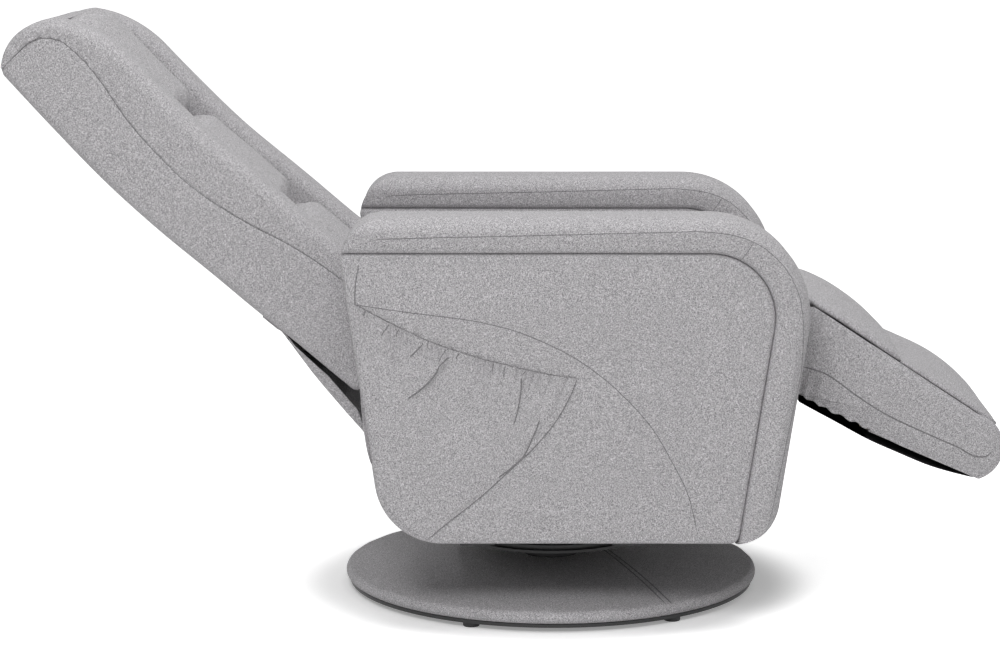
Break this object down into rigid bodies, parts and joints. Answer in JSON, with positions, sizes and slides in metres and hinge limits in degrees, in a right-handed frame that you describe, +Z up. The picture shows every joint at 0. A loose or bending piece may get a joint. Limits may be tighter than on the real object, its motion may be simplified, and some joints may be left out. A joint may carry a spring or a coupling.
{
  "type": "swivel recliner armchair",
  "caption": "Push-back recliner armchair on a round upholstered swivel base; the backrest and footrest move together by hidden push rods.",
  "frame": {"origin": "on the floor, on the swivel axis at the centre of the round base", "axes": "+Z up, the sitter faces -Y, +X is to the sitter's left"},
  "size_m": [0.6633, 1.4295, 0.8731],
  "materials": {
    "grey_weave": "light grey melange woven upholstery cloth over foam",
    "foam_core": "open-cell upholstery foam",
    "padded_panel": "light grey woven cloth over foam and board",
    "black_nonwoven": "black non-woven dust cloth",
    "black_elastic": "black elastic webbing",
    "plywood": "bare birch plywood",
    "black_steel": "satin black powder coat on steel",
    "zinc_steel": "zinc-plated steel",
    "black_plastic": "black moulded plastic"
  },
  "bodies": {
    "base": {"floor_glides": "black_plastic", "base_rim_plate": "black_steel", "base_board": "plywood", "base_fabric_cover": "grey_weave", "pedestal": "black_steel", "pedestal_bolts": "zinc_steel", "lower_swivel_plate": "black_steel", "lower_race": "black_steel", "swivel_spindle": "zinc_steel", "spindle_washer": "zinc_steel", "spindle_nut": "zinc_steel"},
    "ball_cage_ring": {"ball_cage": "black_plastic", "bearing_balls": "zinc_steel"},
    "backrest": {"back_cover": "padded_panel", "back_side_tubes": "black_steel", "back_cross_tubes": "black_steel", "back_webbing": "black_elastic", "back_foam": "foam_core", "recline_levers": "black_steel", "lever_bolts": "zinc_steel", "lever_pins": "zinc_steel", "bolster_left": "grey_weave", "bolster_right": "grey_weave", "back_top_roll": "grey_weave", "lumbar_pillow": "grey_weave", "middle_pillow": "grey_weave", "head_pillow": "grey_weave"},
    "push_rod_pair": {"push_rods": "black_steel"},
    "footrest": {"footrest_foam": "padded_panel", "footrest_board": "plywood", "footrest_under_cover": "black_nonwoven", "footrest_brackets": "black_steel", "link_pins": "zinc_steel", "footrest_lower_pad": "grey_weave", "knee_pad": "grey_weave"},
    "chassis": {"arm_body_left": "grey_weave", "arm_body_right": "grey_weave", "arm_bolts": "zinc_steel", "arm_bottom_strips": "black_plastic", "arm_panels": "plywood", "arm_pocket": "grey_weave", "arm_roll_left": "grey_weave", "arm_roll_right": "grey_weave", "arm_spacers": "zinc_steel", "cross_rails": "black_steel", "flange_bolts": "black_steel", "mechanism_plate_left": "black_steel", "mechanism_plate_right": "black_steel", "pivot_bushes": "black_plastic", "pivot_pins": "zinc_steel", "rear_skirt": "grey_weave", "seat_cross_rails": "black_steel", "seat_cushion": "grey_weave", "seat_dust_cover": "black_nonwoven", "seat_side_rails": "black_steel", "seat_springs": "zinc_steel", "skirt_rail": "black_steel", "swivel_bolts": "black_steel", "upper_race": "black_steel", "upper_swivel_plate": "black_steel"}
  },
  "joints": [
    {"name": "swivel", "type": "hinge", "parent": "base", "child": "chassis", "pos_m": [0, 0, 0], "axis": [0, 0, 1], "continuous": true},
    {"name": "bearing_roll", "type": "hinge", "parent": "base", "child": "ball_cage_ring", "pos_m": [0, 0, 0], "axis": [0, 0, 1], "continuous": true},
    {"name": "recline", "type": "hinge", "parent": "chassis", "child": "backrest", "pos_m": [0, 0.192, 0.408], "axis": [1, 0, 0], "range_deg": [0, 32], "deforming": ["rear_skirt"]},
    {"name": "footrest_fold", "type": "hinge", "parent": "chassis", "child": "footrest", "pos_m": [0, -0.345, 0.448], "axis": [1, 0, 0], "range_deg": [0, 64], "deforming": ["knee_pad"]},
    {"name": "rod_swing", "type": "hinge", "parent": "backrest", "child": "push_rod_pair", "pos_m": [0, 0.14961, 0.26016], "axis": [1, 0, 0], "range_deg": [-32, 0]}
  ],
  "couplings": [
    {"joint": "bearing_roll", "follows": "swivel", "ratio": 0.5},
    {"joint": "footrest_fold", "follows": "recline", "ratio": 2},
    {"joint": "rod_swing", "follows": "recline", "ratio": -1}
  ]
}
